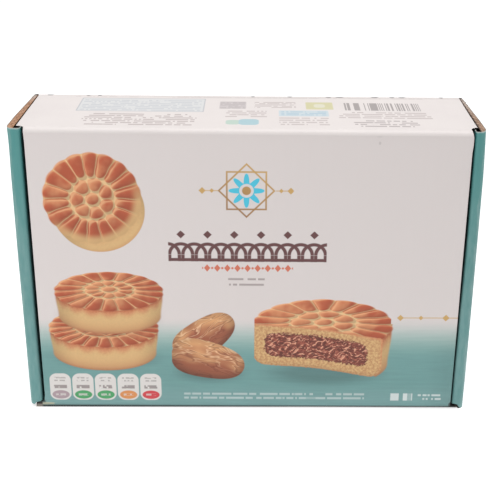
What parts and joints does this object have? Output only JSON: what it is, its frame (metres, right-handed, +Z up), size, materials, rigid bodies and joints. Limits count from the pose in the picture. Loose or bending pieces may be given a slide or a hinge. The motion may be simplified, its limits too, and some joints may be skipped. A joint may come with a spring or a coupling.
{
  "type": "corrugated mailer carton of date maamoul biscuits",
  "caption": "Shut corrugated mailer carton for filled biscuits, standing on its long front flap, with rolled-over end walls and a tucked lid.",
  "frame": {"origin": "centre of the underside of the carton, on the surface that it stands on", "axes": "+X along the carton's length, +Y from the lid panel to the rear panel, +Z up"},
  "size_m": [0.196, 0.057, 0.13],
  "materials": {
    "lid_print": "satin",
    "wall_print": "satin",
    "tray_print": "satin"
  },
  "bodies": {
    "root": {"lid": "lid_print", "side_wall_left": "wall_print", "side_wall_right": "wall_print", "tray": "tray_print"}
  },
  "joints": []
}
